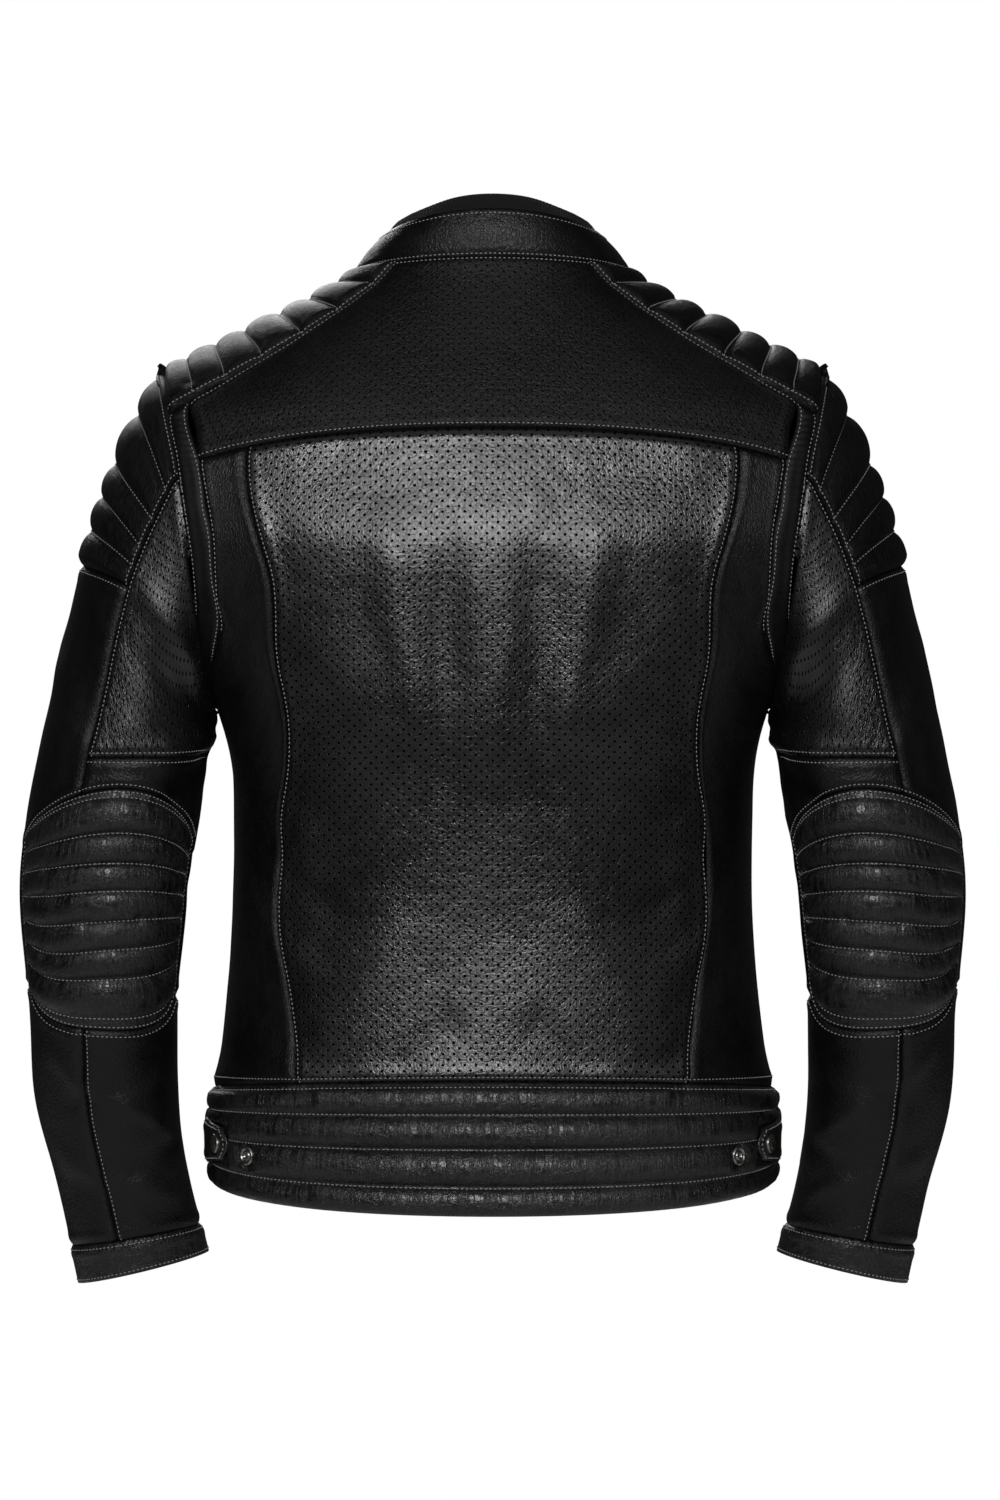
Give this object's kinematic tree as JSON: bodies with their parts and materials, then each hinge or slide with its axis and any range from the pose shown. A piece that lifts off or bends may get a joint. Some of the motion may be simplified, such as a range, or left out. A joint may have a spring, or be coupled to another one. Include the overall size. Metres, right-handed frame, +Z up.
{
  "type": "leather riding jacket",
  "caption": "Black leather riding jacket with perforated back, quilted shoulder and elbow patches, stand collar, snap tabs at the waistband and zips at front, pockets and cuffs.",
  "frame": {"origin": "middle of the hang loop inside the back neck", "axes": "+Z up, +Y out of the back, +X towards the wearer's left"},
  "size_m": [0.6552, 0.2719, 0.7575],
  "materials": {
    "perforated_leather": "perforated matt",
    "smooth_leather": "matt grained",
    "quilted_leather": "soft sheen, quilted",
    "waxed_leather": "waxed and creased",
    "stretch_panel": "matt",
    "collar_knit": "knit",
    "lining_mesh": "mesh",
    "foam": "foam",
    "zip_tape": "woven",
    "gunmetal": "antiqued"
  },
  "bodies": {
    "jacket": {"back_panel": "perforated_leather", "back_yoke": "smooth_leather", "collar_shell": "smooth_leather", "collar_liner": "collar_knit", "waistband_back": "waxed_leather", "lining_back": "lining_mesh", "back_protector": "foam", "hang_loop": "smooth_leather", "main_zip_teeth": "gunmetal", "main_zip_tape": "zip_tape", "side_back_L": "smooth_leather", "side_back_R": "smooth_leather", "gusset_L": "stretch_panel", "gusset_R": "stretch_panel", "shoulder_quilt_L": "quilted_leather", "shoulder_quilt_R": "quilted_leather", "front_panel_L": "smooth_leather", "front_panel_R": "smooth_leather", "front_side_L": "smooth_leather", "front_side_R": "smooth_leather", "waistband_front_L": "waxed_leather", "waistband_front_R": "waxed_leather", "lining_front_L": "lining_mesh", "lining_front_R": "lining_mesh", "waist_ring_stud_L": "gunmetal", "waist_ring_stud_R": "gunmetal", "pocket_zip_L": "zip_tape", "pocket_zip_R": "zip_tape"},
    "sleeve_L": {"sleeve_cap_L": "quilted_leather", "sleeve_outer_L": "smooth_leather", "sleeve_back_L": "perforated_leather", "sleeve_under_L": "smooth_leather", "sleeve_lining_L": "lining_mesh"},
    "forearm_L": {"elbow_patch_L": "quilted_leather", "forearm_crook_L": "smooth_leather", "forearm_outer_L": "smooth_leather", "forearm_inner_L": "smooth_leather", "cuff_band_L": "waxed_leather", "cuff_zip_L": "zip_tape"},
    "waist_tab_L": {"waist_tab_L": "waxed_leather", "waist_tab_snap_L": "gunmetal"},
    "pocket_slider_L": {"pocket_zip_slider_L": "gunmetal"},
    "cuff_slider_L": {"cuff_zip_slider_L": "gunmetal"},
    "sleeve_R": {"sleeve_cap_R": "quilted_leather", "sleeve_outer_R": "smooth_leather", "sleeve_back_R": "perforated_leather", "sleeve_under_R": "smooth_leather", "sleeve_lining_R": "lining_mesh"},
    "forearm_R": {"elbow_patch_R": "quilted_leather", "forearm_crook_R": "smooth_leather", "forearm_outer_R": "smooth_leather", "forearm_inner_R": "smooth_leather", "cuff_band_R": "waxed_leather", "cuff_zip_R": "zip_tape"},
    "waist_tab_R": {"waist_tab_R": "waxed_leather", "waist_tab_snap_R": "gunmetal"},
    "pocket_slider_R": {"pocket_zip_slider_R": "gunmetal"},
    "cuff_slider_R": {"cuff_zip_slider_R": "gunmetal"},
    "main_slider": {"main_zip_slider": "gunmetal"},
    "main_pull": {"main_zip_pull": "gunmetal"}
  },
  "joints": [
    {"name": "shoulder_raise_L", "type": "hinge", "parent": "jacket", "child": "sleeve_L", "pos_m": [0.2265, -0.04, -0.07], "axis": [0, -1, 0], "range_deg": [0, 60]},
    {"name": "elbow_bend_L", "type": "hinge", "parent": "sleeve_L", "child": "forearm_L", "pos_m": [0.2695, -0.101, -0.452], "axis": [-1, 0, 0], "range_deg": [0, 90]},
    {"name": "waist_tab_peel_L", "type": "hinge", "parent": "jacket", "child": "waist_tab_L", "pos_m": [0.1985, -0.0525, -0.613], "axis": [0, 0, -1], "range_deg": [0, 70]},
    {"name": "pocket_zip_slide_L", "type": "slide", "parent": "jacket", "child": "pocket_slider_L", "axis": [0.0607, -0.0702, -0.9957], "range_m": [0, 0.09]},
    {"name": "cuff_zip_slide_L", "type": "slide", "parent": "forearm_L", "child": "cuff_slider_L", "axis": [-0.1697, -0.3042, -0.9374], "range_m": [0, 0.058]},
    {"name": "shoulder_raise_R", "type": "hinge", "parent": "jacket", "child": "sleeve_R", "pos_m": [-0.2265, -0.04, -0.07], "axis": [0, 1, 0], "range_deg": [0, 60]},
    {"name": "elbow_bend_R", "type": "hinge", "parent": "sleeve_R", "child": "forearm_R", "pos_m": [-0.2695, -0.101, -0.452], "axis": [-1, 0, 0], "range_deg": [0, 90]},
    {"name": "waist_tab_peel_R", "type": "hinge", "parent": "jacket", "child": "waist_tab_R", "pos_m": [-0.1985, -0.0525, -0.613], "axis": [0, 0, 1], "range_deg": [0, 70]},
    {"name": "pocket_zip_slide_R", "type": "slide", "parent": "jacket", "child": "pocket_slider_R", "axis": [-0.0607, -0.0702, -0.9957], "range_m": [0, 0.09]},
    {"name": "cuff_zip_slide_R", "type": "slide", "parent": "forearm_R", "child": "cuff_slider_R", "axis": [0.1697, -0.3042, -0.9374], "range_m": [0, 0.058]},
    {"name": "main_zip_slide", "type": "slide", "parent": "jacket", "child": "main_slider", "axis": [0, -0.0896, -0.996], "range_m": [0, 0.54]},
    {"name": "main_pull_swing", "type": "hinge", "parent": "main_slider", "child": "main_pull", "pos_m": [0, -0.14885, -0.0825], "axis": [-1, 0, 0], "range_deg": [0, 140]}
  ]
}
